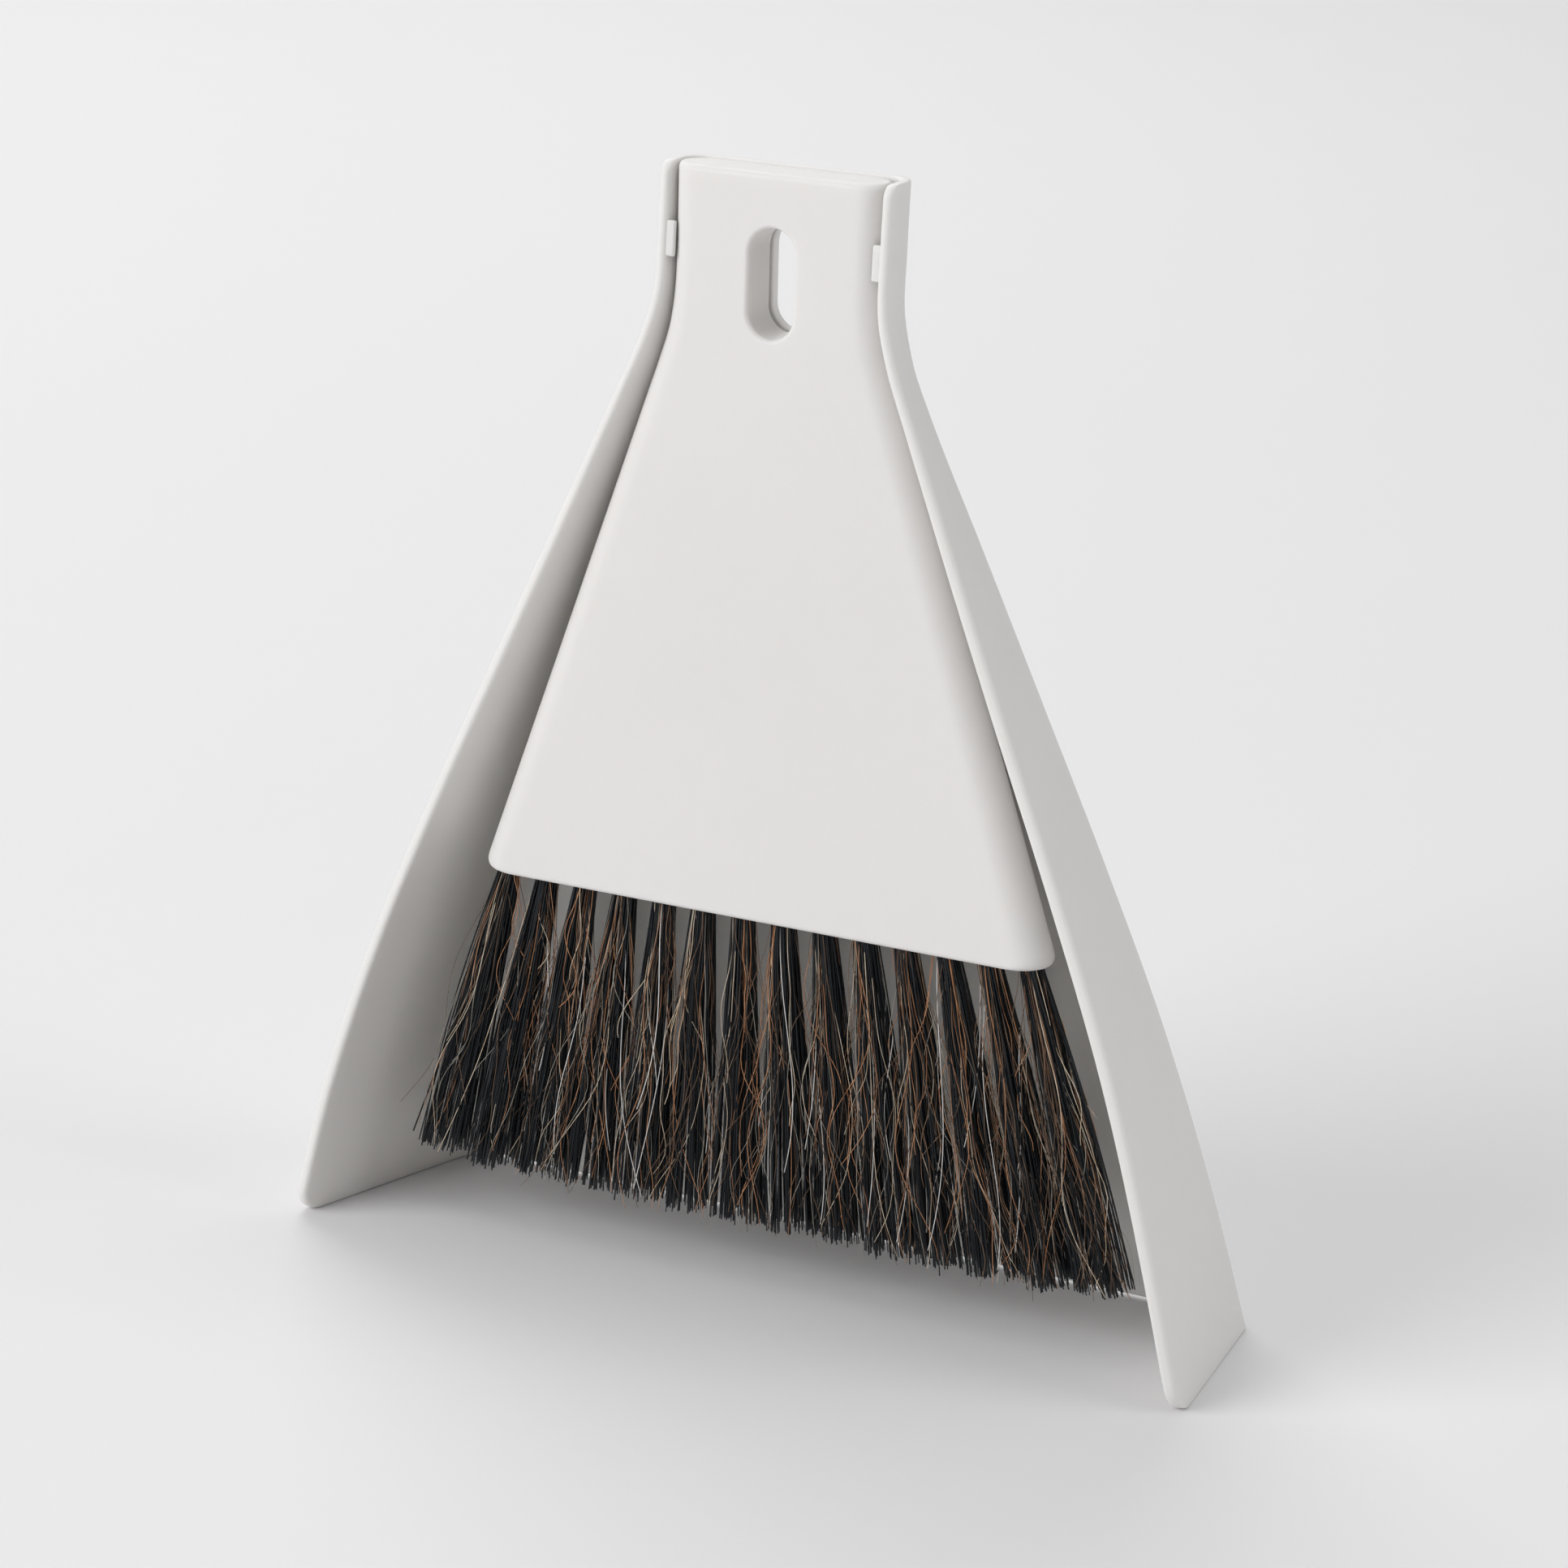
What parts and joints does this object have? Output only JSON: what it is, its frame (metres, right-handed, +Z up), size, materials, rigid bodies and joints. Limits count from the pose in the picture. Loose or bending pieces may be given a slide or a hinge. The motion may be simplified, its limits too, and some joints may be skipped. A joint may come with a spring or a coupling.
{
  "type": "dustpan and brush set",
  "caption": "Small upright dustpan with a bell-shaped tray, and a flat hand brush that stores in its channel handle. Stands or hangs.",
  "frame": {"origin": "centre of the bounding box's bottom: on the surface the feet stand on, midway across the width and the depth", "axes": "+Z up, along the pan's height; +X across the width; the pan's open side faces -Y and its back panel faces +Y"},
  "size_m": [0.1588, 0.0389, 0.173],
  "materials": {
    "pan_plastic": "fine matt moulded texture, warm light grey",
    "brush_plastic": "fine matt moulded texture, warm light grey",
    "bristle": "black filament mixed with brown, blond and grey hair",
    "anchor_metal": "plain steel, hidden in the tuft holes"
  },
  "bodies": {
    "brush": {"brush_body": "brush_plastic", "tuft_anchors": "anchor_metal", "tuft_01": "bristle", "tuft_02": "bristle", "tuft_03": "bristle", "tuft_04": "bristle", "tuft_05": "bristle", "tuft_06": "bristle", "tuft_07": "bristle", "tuft_08": "bristle", "tuft_09": "bristle", "tuft_10": "bristle", "tuft_11": "bristle", "tuft_12": "bristle", "tuft_13": "bristle", "tuft_14": "bristle"},
    "pan": {"pan": "pan_plastic"}
  },
  "joints": [
    {"name": "pan_lift", "type": "slide", "parent": "brush", "child": "pan", "axis": [0, 0.0544, 0.9985], "range_m": [0, 0.175]}
  ]
}
